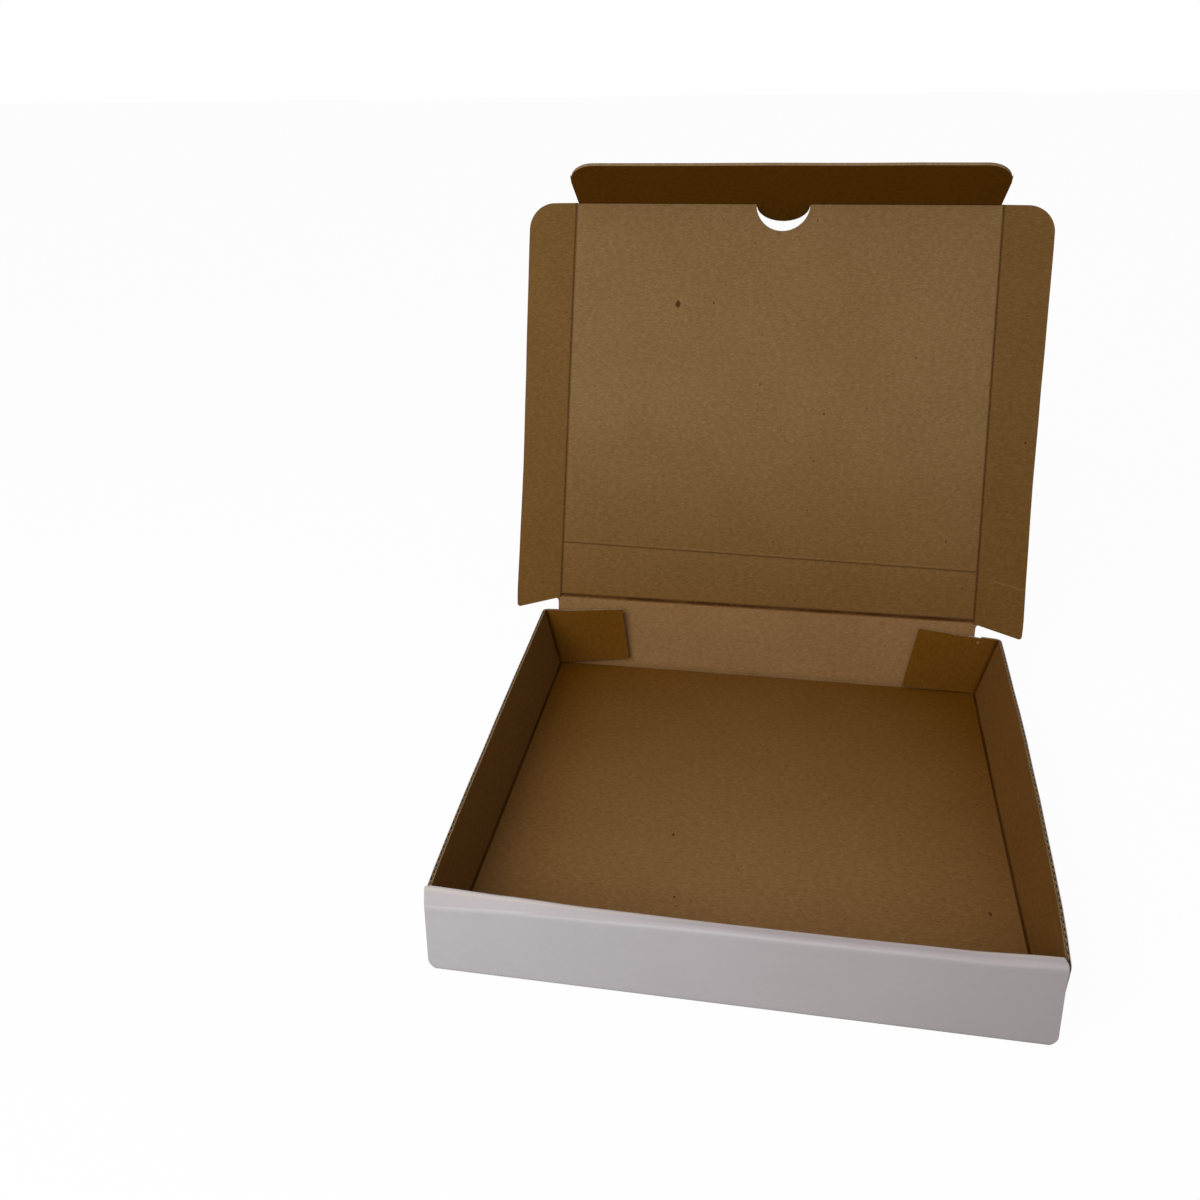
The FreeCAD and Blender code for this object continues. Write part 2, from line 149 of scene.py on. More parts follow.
class Folded:
    # One folded piece of board, made as a closed skin round the middle of each sheet

    def __init__(self, lip=cutSide):
        # lip is the slot of the outer paper's own edge beside the flutes
        self.lip = lip
        self.bm = bmesh.new()
        self.uv = self.bm.loops.layers.uv.new("blank")
        # Two marks on the points: fold, the crease mark, which is wear and painted shade; deep, the painted
        # shade of the paper
        self.fold = self.bm.verts.layers.float.new("fold")
        self.deep = self.bm.verts.layers.float.new("deep")

    def face(self, corners, slot):
        # corners are (place, blank, (fold, deep)): the crease mark there, wear and painted shade, and how
        # much painted shade darkens the paper
        verts = []
        for place, blank, (fold, deep) in corners:
            vert = self.bm.verts.new(place * mm)
            vert[self.fold] = fold
            vert[self.deep] = deep
            verts.append(vert)
        made = self.bm.faces.new(verts)
        made.material_index = slot
        made.smooth = slot != cutSide
        for loop, (place, blank, marks) in zip(made.loops, corners):
            loop[self.uv].uv = (blank[0] * mm, blank[1] * mm)

    def sheet(self, mid, blank, side, joined=(), fluted=(), gone=None, fold=None, bead=None, deep=0.0,
              outerPaintedShade=0.0, outerFold=0.4):
        # mid[row][column] are places and blank the same places on the flat blank; side turns the inner
        # face. deep is painted shade on the inner paper, and the argument after it painted shade on the
        # outer one; outerFold is the outer share of the crease mark, which is wear there.
        rows, columns = len(mid), len(mid[0])
        normal = sheetNormals(mid, side)
        centre = mid[rows // 2]
        ways = {
            "left": (centre[1] - centre[0]).normalized(),
            "right": (centre[-2] - centre[-1]).normalized(),
        }

        def skin(row, column, face, level=None):
            rise = bead[row][column] if bead and face > 0 else 0.0
            height = half + rise if level is None else level
            place = mid[row][column] + normal[row][column] * face * height
            dark = deep if face > 0 else outerPaintedShade
            shade = dark(mid[row][column]) if callable(dark) else dark
            # The crease mark: wear, and painted shade in the inside corners; the outer paper takes the
            # outerFold share
            creaseWearAndShade = fold[row][column] * (1.0 if face > 0 else outerFold) if fold else 0.0
            return (place, blank[row][column], (creaseWearAndShade, shade))

        def there(row, column):
            inside = 0 <= row < rows - 1 and 0 <= column < columns - 1
            return inside and not (gone and gone(row, column))

        for row in range(rows - 1):
            for column in range(columns - 1):
                if not there(row, column):
                    continue
                ring = [(row, column), (row, column + 1), (row + 1, column + 1), (row + 1, column)]
                order = ring if side > 0 else ring[::-1]
                self.face([skin(*spot, 1) for spot in order], kraftSide)
                self.face([skin(*spot, -1) for spot in order[::-1]], printSide)
                neighbours = {
                    "first": (row - 1, column), "right": (row, column + 1),
                    "last": (row + 1, column), "left": (row, column - 1)}
                for index, (border, spot) in enumerate(neighbours.items()):
                    if there(*spot):
                        continue
                    atEdge = not (0 <= spot[0] < rows - 1 and 0 <= spot[1] < columns - 1)
                    if atEdge and border in joined:
                        continue
                    start, end = ring[index], ring[(index + 1) % 4]
                    startIn, endIn = ring[(index + 3) % 4], ring[(index + 2) % 4]
                    if side < 0:
                        start, end, startIn, endIn = end, start, endIn, startIn
                    hollow = atEdge and border in fluted
                    self.rim(skin, start, end, startIn, endIn, hollow, ways.get(border))

    def rim(self, skin, start, end, startIn, endIn, hollow, way):
        # The cut edge between the two skins, and the hollow that shows the flutes
        inner = half - board["liner"]
        steps = [(0, None, 1), (0, None, -1)]
        if hollow:
            deep = board["open"]
            steps = [(0, None, 1), (0, inner, 1), (deep, inner, 1),
                     (deep, inner, -1), (0, inner, -1), (0, None, -1)]

        def spotAt(border, inward, step):
            deep, level, face = step
            place, blank, marks = skin(*border, face, level)
            if deep:
                place = place + (way or (skin(*inward, face, level)[0] - place).normalized()) * deep
            return (place, blank, marks)

        onWall = abs(skin(*start, 1)[0].x) > board["whiteLip"]
        outerLip = 4  # the step across the outer paper's edge
        for index, (step, following) in enumerate(zip(steps, steps[1:])):
            self.face([spotAt(start, startIn, step), spotAt(start, startIn, following),
                       spotAt(end, endIn, following), spotAt(end, endIn, step)],
                      self.lip if index == outerLip and onWall else cutSide)

    def finish(self, name, materials, body=None):
        bmesh.ops.remove_doubles(self.bm, verts=self.bm.verts, dist=board["weld"] * mm)
        bmesh.ops.dissolve_degenerate(self.bm, edges=self.bm.edges, dist=board["sliver"] * mm)
        mesh = bpy.data.meshes.new(name)
        self.bm.to_mesh(mesh)
        self.bm.free()
        mesh.set_sharp_from_angle(angle=board["sharp"])
        piece = addObject(name, mesh)
        for material in materials:
            mesh.materials.append(material)
        if body:
            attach(piece, body)
        print("made", name, len(mesh.polygons), "faces")
        return piece


def sheetNormals(mid, side):
    rows, columns = len(mid), len(mid[0])
    normals = []
    for row in range(rows):
        line = []
        for column in range(columns):
            along = mid[min(row + 1, rows - 1)][column] - mid[max(row - 1, 0)][column]
            across = mid[row][min(column + 1, columns - 1)] - mid[row][max(column - 1, 0)]
            line.append(across.cross(along).normalized() * side)
        normals.append(line)
    return normals


def wander(x, y, scale, seed):
    # A slow unevenness of the board, from -1 to 1
    return noise.noise(Vector((x / scale, y / scale, seed * 3.7)))


# Shader maths


class Wire:
    # A socket of a material; sums on it add Math nodes

    def __init__(self, tree, socket=None):
        self.tree = tree
        self.socket = socket

    def node(self, kind, settings=None, inputs=None, output=0):
        made = self.tree.nodes.new(kind)
        for name, value in (settings or {}).items():
            if name == "stops":
                ramp = made.color_ramp
                while len(ramp.elements) < len(value):
                    ramp.elements.new(0.5)
                for element, (place, colour) in zip(ramp.elements, value):
                    element.position = place
                    element.color = (*colour, 1.0)
            else:
                setattr(made, name, value)
        for name, value in (inputs or {}).items():
            if isinstance(value, Wire):
                self.tree.links.new(value.socket, made.inputs[name])
            else:
                made.inputs[name].default_value = value
        return Wire(self.tree, made.outputs[output] if made.outputs else None)

    def sums(self, operation, *others, clamp=False):
        return self.node("ShaderNodeMath", {"operation": operation, "use_clamp": clamp},
                         dict(enumerate((self, *others))))

    def __add__(self, other):
        return self.sums("ADD", other)

    def __sub__(self, other):
        return self.sums("SUBTRACT", other)

    def __mul__(self, other):
        return self.sums("MULTIPLY", other)

    def __rsub__(self, other):
        return (self * -1.0) + other

    __radd__ = __add__
    __rmul__ = __mul__

    def step(self, low, high):
        # 0 below low, 1 above high, smooth between
        return self.node("ShaderNodeMapRange", {"interpolation_type": "SMOOTHSTEP"},
                         {"Value": self, "From Min": low, "From Max": high})

    def part(self, letter):
        return self.node("ShaderNodeSeparateXYZ", {}, {"Vector": self}, "XYZ".index(letter))

    def mark(self, name):
        # A value that is painted on the points of a piece
        return self.node("ShaderNodeAttribute", {"attribute_name": name}, {}, 2)

    def vector(self, operation, other, output=0):
        return self.node("ShaderNodeVectorMath", {"operation": operation}, {0: self, 1: other}, output)

    def speckled(self, scale, detail, stretch=(1.0, 1.0, 1.0), turn=0.0, rough=0.5):
        # Noise on this vector, in features per metre
        placed = self.node("ShaderNodeMapping", {},
                           {"Vector": self, "Scale": stretch, "Location": (turn, turn, 0)})
        return self.node("ShaderNodeTexNoise", {},
                         {"Vector": placed, "Scale": scale, "Detail": detail, "Roughness": rough})


def mixed(share, low, high, blend="MIX"):
    # A colour between two colours, or one colour laid over another
    made = share.tree.nodes.new("ShaderNodeMix")
    made.data_type = "RGBA"
    made.blend_type = blend
    share.tree.links.new(share.socket, made.inputs[0])
    for index, value in ((6, low), (7, high)):
        if isinstance(value, Wire):
            share.tree.links.new(value.socket, made.inputs[index])
        else:
            made.inputs[index].default_value = (*value, 1.0)
    return Wire(share.tree, made.outputs[2])


def newMaterial(name, specular=0.3):
    material = bpy.data.materials.new(name)
    material.use_nodes = True
    shader = material.node_tree.nodes["Principled BSDF"]
    shader.inputs["Specular IOR Level"].default_value = specular
    return material, shader, Wire(material.node_tree)


def connect(shader, name, wire):
    wire.tree.links.new(wire.socket, shader.inputs[name])


def fluteStripe(along):
    # -1 to 1 over each flute
    return (along * (2 * math.pi / (board["pitch"] * mm))).sums("SINE")


def addBump(shader, height, strength, distance):
    bump = height.node("ShaderNodeBump", {}, {"Height": height, "Strength": strength, "Distance": distance})
    connect(shader, "Normal", bump)


kraft = {
    # dark, middle and light tones of the paper
    "lid": ((0.174, 0.098, 0.036), (0.225, 0.130, 0.052), (0.279, 0.170, 0.075)),
    "tray": ((0.198, 0.104, 0.039), (0.252, 0.137, 0.055), (0.310, 0.177, 0.078)),
    "deep": (0.52, 0.366, 0.072),  # painted shade, laid over the paper where the deep mark is set
    "speck": (0.060, 0.028, 0.008),
    # the crease mark: wear of the pressed paper, and painted shade in the inside corners of the folds
    "fold": (0.040, 0.012, 0.002),
    "fibre": (0.360, 0.240, 0.130),
    "roughness": 0.90,
    # Noises: features per metre, detail, stretch, place, roughness
    "clouds": (30, 2, (1.0, 1.0, 1.0), 0.31),
    "mottle": (420, 4, (0.75, 1.0, 1.0), 1.7, 0.6),
    "fibres": (1000, 3, (0.40, 1.25, 1.0), 2.9, 0.7),
    "grain": (2600, 2, (0.8, 1.0, 1.0), 4.1),
    "dashes": (1500, 2, (0.28, 1.5, 1.0), 5.7, 0.6),
    "faint": (60, 2, (1.0, 1.0, 1.0), 7.3),
    "level": 0.85,  # what is taken off the summed noises before contrast
    "contrast": 1.45,
    # How strongly each mark shows
    "lightFibres": 0.60,
    "darkFibres": 0.40,
    "stripes": 0.14,
    "dots": 0.62,
    "crush": 0.32,
    "dotsPerMetre": 170.0,
    "bump": (0.22, 0.00012),  # strength and height
}

# Bits of bark in the paper, on the flat blank: (x, y, length, width)
lidSpecks = [(-50.7, 153.8, 4.2, 2.7), (-32.3, 154.7, 1.6, 0.9), (26.1, 100.4, 1.7, 1.0),
             (20.5, 51.4, 1.2, 0.7), (22.5, 76.5, 1.1, 0.7), (17.4, 196.6, 1.2, 0.8),
             (-6.8, 114.4, 1.3, 0.7), (69.3, 129.7, 1.1, 0.8), (89.7, 39.4, 1.1, 0.7),
             (-26.7, 163.9, 1.2, 0.6), (124.3, 89.8, 1.5, 1.1)]
traySpecks = [(-29.4, -23.7, 2.0, 1.1), (95.3, -50.9, 2.2, 1.3),
              (-24.9, -60.2, 1.5, 1.0), (7.9, 43.2, 1.4, 0.8)]
# A faint crush line across the right ear, from one place to another
crushLine = ((111.2, 21.1), (128.5, 16.9))


def makeKraft(name, tones, specks, crush=None):
    material, shader, start = newMaterial(name, 0.0)
    blank = start.node("ShaderNodeUVMap", {"uv_map": "blank"})
    clouds, mottle, fibres, grain, dashes, faint = (
        blank.speckled(*kraft[kind]) for kind in ("clouds", "mottle", "fibres", "grain", "dashes", "faint"))
    tone = clouds * 0.25 + mottle * 0.70 + fibres * 0.85 + grain * 0.60
    share = (tone - kraft["level"]).sums("MULTIPLY", kraft["contrast"], clamp=True)
    colour = start.node("ShaderNodeValToRGB", {
        "stops": [(0.0, tones[0]), (0.5, tones[1]), (1.0, tones[2])]}, {"Fac": share})
    # Single fibres, lighter and darker than the rest
    colour = mixed(dashes.step(0.58, 0.72) * kraft["lightFibres"], colour, kraft["fibre"])
    colour = mixed((1 - dashes.step(0.28, 0.40)) * kraft["darkFibres"], colour, kraft["speck"])
    # The flutes print through the liner as faint stripes
    along = blank.part("Y")
    stripe = fluteStripe(along)
    stripes = stripe * (faint - 0.25) * 0.5 + 0.5
    colour = mixed((stripes * kraft["stripes"]).sums("MAXIMUM", 0.0), colour, tones[0])
    # Painted shade, multiplied in where the deep mark is set
    colour = mixed(start.mark("deep"), colour, kraft["deep"], "MULTIPLY")
    # Small dark specks all over
    scattered = {"Vector": blank, "Scale": kraft["dotsPerMetre"], "Randomness": 1.0}
    cells = start.node("ShaderNodeTexVoronoi", {"feature": "F1"}, scattered)
    draw = start.node("ShaderNodeTexVoronoi", {"feature": "F1"}, scattered, 1)
    chance = start.node("ShaderNodeSeparateColor", {}, {"Color": draw}, 0)
    dots = (1 - cells.step(0.045, 0.085)) * chance.step(0.66, 0.74)
    colour = mixed(dots * kraft["dots"], colour, kraft["speck"])
    for x, y, length, width in specks:
        away = blank.vector("SUBTRACT", (x * mm, y * mm, 0.0))
        shaped = away.vector("MULTIPLY", (2 / (width * mm), 2 / (length * mm), 0.0))
        ragged = shaped.vector("LENGTH", (0.0, 0.0, 0.0), 1) + (fibres - 0.5) * 0.8
        colour = mixed((1 - ragged.step(0.75, 1.05)) * 0.9, colour, kraft["speck"])
    if crush:
        (x, y), (farX, farY) = crush
        slope = (farY - y) / (farX - x)
        across = blank.part("X")
        off = (along - across * slope) - (y - x * slope) * mm
        line = 1 - (off + (mottle - 0.5) * 0.0012).sums("ABSOLUTE").step(0.0001, 0.0007)
        colour = mixed(line * across.step(x * mm, (x + 5) * mm) * kraft["crush"], colour, tones[2])
    # The crease mark: wear of the pressed paper, and painted shade in the inside corners of the folds
    foldWearAndShade = start.mark("fold") * (mottle * 1.0 + 0.45)
    colour = mixed(foldWearAndShade.sums("MINIMUM", 0.9), colour, kraft["fold"])
    connect(shader, "Base Color", colour)
    connect(shader, "Roughness", (grain * 0.12) + (kraft["roughness"] - 0.06))
    addBump(shader, fibres * 0.6 + grain * 0.4 + stripe * 0.06, *kraft["bump"])
    return material


liner = {
    "colour": (0.560, 0.532, 0.548),
    "shade": (0.490, 0.462, 0.474),
    "deep": (0.725, 0.68, 0.675),  # painted shade, laid over the paper where the deep mark is set
    "fold": (0.600, 0.500, 0.420),
    "roughness": 0.68,
    "clouds": (38, 3, (1.0, 1.0, 1.0), 5.2),
    "mottle": (420, 4, (0.7, 1.0, 1.0), 3.3, 0.6),
    "fibres": (1100, 3, (0.3, 1.3, 1.0), 8.8, 0.7),
    "bump": (0.25, 0.00015),
}

gingham = {
    "band": 39.6,  # from one grey band to the next
    "start": -106.0,
    "rows": (0.0, 0.068, 0.203, 0.311, 0.437, 0.545, 0.671, 0.761, 0.878, 0.985),
    "length": 204.5,
    "bleed": 108.8,  # how far the print runs over the side folds
    "grey": (0.474, 0.480),  # where a grey band ends, in shares of its cycle
    "ragged": 0.010,  # unevenness of a printed edge, and its softness
    "edge": 0.001,
    "pinkDark": (0.485, 0.290, 0.345),
    "pinkLight": (0.505, 0.385, 0.425),
    "whiteDark": (0.440, 0.440, 0.455),
}


def makeLiner(name, printed=False):
    material, shader, start = newMaterial(name, 0.35)
    blank = start.node("ShaderNodeUVMap", {"uv_map": "blank"})
    clouds, mottle, fibres = (blank.speckled(*liner[kind]) for kind in ("clouds", "mottle", "fibres"))
    tone = (clouds * 0.6 + mottle * 0.5 + fibres * 0.3 - 0.4).sums("MULTIPLY", 1.0, clamp=True)
    paper = mixed(tone, liner["colour"], liner["shade"])
    along = blank.part("Y")
    stripe = fluteStripe(along)
    if printed:
        across = blank.part("X")
        place = (across * (1 / (gingham["band"] * mm))) - gingham["start"] / gingham["band"]
        cycle = place.sums("FRACT")
        ink = (mottle - 0.5) * gingham["ragged"]
        dark = 1 - (cycle + ink).step(*gingham["grey"])
        row = along * (1 / (gingham["length"] * mm)) + ink * 0.35
        pink = None
        stops, edge = gingham["rows"], gingham["edge"]
        for low, high in zip(stops[0::2], stops[1::2]):
            band = row.step(low - edge, low + edge) * (1 - row.step(high - edge, high + edge))
            pink = band if pink is None else pink + band
        white = mixed(dark, paper, gingham["whiteDark"])
        pinks = mixed(dark, gingham["pinkLight"], gingham["pinkDark"])
        checks = mixed(pink, white, pinks)
        inside = 1 - across.sums("ABSOLUTE").step(gingham["bleed"] * mm, (gingham["bleed"] + 0.2) * mm)
        speckle = mixed(mottle.step(0.62, 0.75) * 0.10, checks, liner["colour"])
        paper = mixed(inside, paper, speckle)
    # Painted shade, multiplied in where the deep mark is set
    paper = mixed(start.mark("deep"), paper, liner["deep"], "MULTIPLY")
    paper = mixed((start.mark("fold") * 0.6).sums("MINIMUM", 0.8), paper, liner["fold"])
    connect(shader, "Base Color", paper)
    connect(shader, "Roughness", mottle * 0.2 + (liner["roughness"] - 0.1))
    addBump(shader, fibres * 0.4 + stripe * 0.05 + clouds * 2.0, *liner["bump"])
    return material


cutEdge = {
    "liner": ((0.170, 0.105, 0.050), (0.350, 0.235, 0.130)),
    "flute": ((0.170, 0.110, 0.055), (0.380, 0.265, 0.150)),
    "roughness": 0.92,
    "fuzz": (1400, 4, (1.0, 1.0, 1.0), 0.7, 0.7),
    "strands": (500, 2, (1.0, 1.0, 1.0), 2.2),
    "bump": (0.5, 0.0001),
}


def makeCutEdge(name, tones):
    material, shader, start = newMaterial(name, 0.0)
    place = start.node("ShaderNodeTexCoord", {}, {}, 3)
    fuzz, strands = (place.speckled(*cutEdge[kind]) for kind in ("fuzz", "strands"))
    share = (fuzz * 0.8 + strands * 0.6 - 0.45).sums("MULTIPLY", 1.6, clamp=True)
    connect(shader, "Base Color", mixed(share, *tones))
    connect(shader, "Roughness", fuzz * 0.1 + (cutEdge["roughness"] - 0.05))
    addBump(shader, fuzz, *cutEdge["bump"])
    return material


trayKraft = makeKraft("kraftInside", kraft["tray"], traySpecks)
lidKraft = makeKraft("kraftInsideLid", kraft["lid"], lidSpecks, crushLine)
plainLiner = makeLiner("whiteOutside")
printedLiner = makeLiner("ginghamOutside", printed=True)
cutBoard = makeCutEdge("cutBoard", cutEdge["liner"])
flutePaper = makeCutEdge("flutePaper", cutEdge["flute"])
print("materials ready")

# The tray

tray = {
    "halfWidth": 108.5,
    "halfDepth": 109.0,
    # How far the foot and the rim of each side wall stand outside the half width: front, middle and rear
    "right": {"foot": (-0.5, 0.6, 2.6), "rim": (0.1, 6.8, 10.1)},
    "left": {"foot": (-1.7, -1.7, -1.7), "rim": (0.7, 3.6, 5.3)},
    "frontRim": 35.2,
    "rearRim": 33.8,
    "floorHalf": 106.0,
    "backHeight": 38.5,
    "backLean": math.radians(11.5),
    "backHalfWidth": 105.5,
    "creaseGap": 1.3,  # a crease's own strip starts this far from it
    "turns": (-106.5, 106.6),  # where each side wall turns into its front and rear tab
    "turnReach": 1.2,
    "frontTab": {"reach": 36.0, "foot": 2.0, "top": 29.4},
    "tabs": {
        "right": {"reach": 35.1, "foot": 3.8, "top": 34.2, "skew": 6.1, "lean": math.radians(11.5)},
        "left": {"reach": 40.7, "foot": 8.3, "top": 35.5, "skew": 4.2, "lean": math.radians(6.5)}},
}
shade = {
    # Painted shade on the inner paper in each place: 0 none, 1 as dark as kraft["deep"] makes it
    "floor": {"rear": 0.82, "front": 0.12, "sides": 0.20},
    "walls": {"right": 0.72, "left": 0.66},
    "tabs": 0.95,
    "lid": 0.60,
    "ear": (0.68, 0.50),
    "tuck": 0.98,
    "hinge": 0.4,
    "tuckCrease": 0.5,
    # The same for the white paper: along the front wall, and on the rolled edge
    "front": 0.88,
    "rolled": 0.55,
}
depthRows = [-107.2, -106.0, -105.4, -103.6, -95, -80, -60, -40, -20, 0,
             20, 40, 60, 80, 95, 104, 105.4, 105.6, 107.2]
lugs = {"spacing": 120.0, "width": 30.0, "play": 0.4, "top": 1.7, "low": 0.3}
slotSides = [sign * lugs["spacing"] / 2 + edge for sign in (-1, 1)
             for edge in (-lugs["width"] / 2 - lugs["play"], lugs["width"] / 2 + lugs["play"])]


def depthShare(y):
    # 0 at the front of the tray, 1 at its back
    return (y + tray["halfDepth"]) / (2 * tray["halfDepth"])


def wallLine(side, level, y):
    # How far out a side wall's middle stands at its foot or rim
    front, middle, rear = tray[side][level]
    return tray["halfWidth"] + quadratic(front, middle, rear, depthShare(y)) - half


def rimHeight(y):
    dip = 2.4 * max(0.0, (-102.5 - y) / 4.0)  # it goes under the rolled edge
    return lerp(tray["frontRim"], tray["rearRim"], depthShare(y)) + 0.12 * wander(y, 0, 45, 2) - dip


def floorShade(place):
    # Painted shade: darker to the rear and beside the walls
    rear = within(depthShare(place.y))
    floor = shade["floor"]
    return floor["rear"] * rear ** 1.25 + floor["front"] * (1 - rear) + floor["sides"] * (place.x / 90) ** 2


def addFloor(piece):
    reach = tray["floorHalf"]
    columns = [side / reach for side in slotSides] + spread(-1, 1, 22) + [-0.993, 0.993, -0.997, 0.997]
    columns = sorted(set(columns))
    mid, blank, fold = [], [], []
    for y in depthRows:
        tuckedIn = board["bend"] if abs(y) < 105.5 else -0.6
        left = -wallLine("left", "foot", y) + tuckedIn
        right = wallLine("right", "foot", y) - tuckedIn
        line = [lerp(left, right, (share + 1) / 2) for share in columns]
        mid.append([Vector((x, y, half)) for x in line])
        blank.append([(x, y) for x in line])
        # The crease mark along the walls: wear, and painted shade in the inside corner
        fold.append([within((abs(share) - 0.993) * 250) * (0.95 + 0.5 * wander(x, y, 9, 3))
                     for share, x in zip(columns, line)])

    def slotCell(row, column):
        centre = (columns[column] + columns[column + 1]) / 2 * reach
        between = slotSides[0] < centre < slotSides[1] or slotSides[2] < centre < slotSides[3]
        return row in (1, 2) and between

    piece.sheet(mid, blank, 1, joined=("first", "last", "left", "right"), gone=slotCell, fold=fold,
                deep=floorShade)


def addSide(piece, name, sign):
    # Front tab, wall and rear tab are one sheet that turns round two upright folds
    tab, frontTab = tray["tabs"][name], tray["frontTab"]
    frontY, rearY = tray["turns"]
    reach = tray["turnReach"]
    wallYs = [y for y in depthRows if frontY + 1.3 < y < rearY - 1.3]
    wallYs = sorted(set([frontY + reach] + wallYs + [101.5, 103.6, rearY - 2.0, rearY - reach]))
    rise = tab["top"] - tab["foot"]
    tabShares = [0.02, 0.05, 0.12, 0.18, 0.196, 0.206, 0.24, 0.27, 0.35, 0.5, 0.65, 0.8, 0.92, 1.0]
    rearFaceY = tray["halfDepth"] - half - half / math.cos(tray["backLean"]) - 0.4

    def corner(level, y, height):
        return Vector((wallLine(name, level, y), y, height))

    def line(level):
        low = level == "foot"
        frontEnd = Vector((tray["halfWidth"] - frontTab["reach"], frontY,
                           frontTab["foot"] if low else frontTab["top"]))
        rearEnd = Vector((tray["halfWidth"] - tab["reach"] + (0 if low else tab["skew"]),
                          rearFaceY - half + (0 if low else rise * math.tan(tab["lean"])),
                          tab["foot"] if low else tab["top"]))
        walls = [corner(level, y, half + board["bend"] if low else rimHeight(y)) for y in wallYs]
        front = corner(level, frontY, 2.0 if low else 31.4)
        rear = corner(level, rearY, 2.2 if low else tray["rearRim"] - 1.0)
        frontTurn = bentLine([frontEnd, front, walls[0]], [reach], 4)[:-1]
        frontTurn = filledLine(frontTurn, {0: 4})
        rearTurn = bentLine([walls[-1], rear, rearEnd], [reach], 4)[1:-1]
        start = rearTurn[-1]
        for share in tabShares:
            place = start.lerp(rearEnd, share)
            if not low and share < 0.2:
                place.z = tray["rearRim"]
            rearTurn.append(place)
        if not low:
            for place in rearTurn[:5]:
                place.z = tray["rearRim"] - 0.15
        return frontTurn, walls, rearTurn

    feet, rims = line("foot"), line("rim")
    footLine = feet[0] + feet[1] + feet[2]
    rimLine = rims[0] + rims[1] + rims[2]
    firstWall, lastWall = len(feet[0]), len(feet[0]) + len(feet[1]) - 1
    travelled = distances(footLine)
    start = -travelled[firstWall] + wallYs[0]
    bends, heights = 4, [0.02, 0.045, 0.07, 0.2, 0.35, 0.5, 0.65, 0.78, 0.87, 0.915, 0.955, 1.0]
    mid, blank, fold = [], [], []
    for row in range(bends + len(heights)):
        spots = []
        for column, (foot, rim) in enumerate(zip(footLine, rimLine)):
            onFloor = Vector((foot.x, foot.y, half))
            if row < bends:
                share = row / bends
                inside = onFloor - Vector((board["bend"], 0, 0))
                place = inside.lerp(onFloor, share).lerp(onFloor.lerp(foot, share), share)
                height = 0.0
            else:
                share = (heights[row - bends] - 0.02) / 0.98
                place = foot.lerp(rim, share)
                # The wall's own slight unevenness, none at its foot and ends
                ease = math.sin(math.pi * min(1.0, share * 0.5)) if firstWall < column < lastWall else 0.0
                place = place + Vector((0.35 * ease * wander(foot.y, place.z, 38, 11 + sign), 0, 0))
                height = place.z
            # The crease mark at the foot and the upright turn: wear, and painted shade in these inside
            # corners
            edge = 1.0 if row < bends else max(0.0, 1 - (heights[row - bends] - 0.02) * 24)
            edge *= 1.0 if firstWall <= column <= lastWall else 0.0
            fromTurn = abs(travelled[column] - travelled[lastWall] - 1.0)
            upright = 1 - max(0.0, fromTurn - 0.9) / 1.1
            spots.append((Vector((sign * place.x, place.y, place.z)),
                          (sign * (tray["halfWidth"] + height), start + travelled[column]),
                          max(edge, upright, 0.0) * (0.85 + 0.4 * wander(foot.y, 5 + height, 7, 4))))
        addRow((mid, blank, fold), spots)

    holeColumn = lastWall + 5 + tabShares.index(0.24)
    holeRow = bends + heights.index(0.915)

    def overTab(row, column):
        torn = name == "right" and (row, column) == (holeRow, holeColumn)
        return torn or (row < bends and not firstWall <= column < lastWall)

    # Painted shade on the inner paper of the walls, and more on the rear tabs
    piece.sheet(mid, blank, -sign, joined=("first",), fluted=("last",), gone=overTab, fold=fold,
                deep=lambda place: shade["walls"][name] if place.y < 104 else shade["tabs"])
    return mid


roll = {
    # Height of the fold along the outside of the rolled edge, and of the one along its inside
    "crease": [(-109.0, 30.0), (-70.0, 32.0), (0.0, 33.4), (80.0, 34.0), (108.5, 35.3)],
    "top": [(-109.0, 36.6), (-79.0, 35.7), (-49.0, 34.7), (0.0, 34.2), (40.0, 34.3), (75.0, 34.7),
            (108.5, 36.3)],
    "height": 35.7,
    # Ends of the front wall at its foot and at its top
    "left": (109.7, 108.7),
    "right": (108.8, 107.0),
    "cornerRadius": 4.2,
    "innerHalf": 105.4,
    "innerY": -104.0,
    "bends": (1.1, 0.9),
    "inside": (-109.4, 106.2),  # where the fold along the inside begins and ends
}


def frontEnds(z):
    # Left and right end of the front wall at a height
    radius = roll["cornerRadius"]
    share = within(z / roll["height"])
    left, right = -lerp(*roll["left"], share), lerp(*roll["right"], share)
    back = roundDrop(radius, radius - max(z - half, 0.0))
    return left + back, right - back


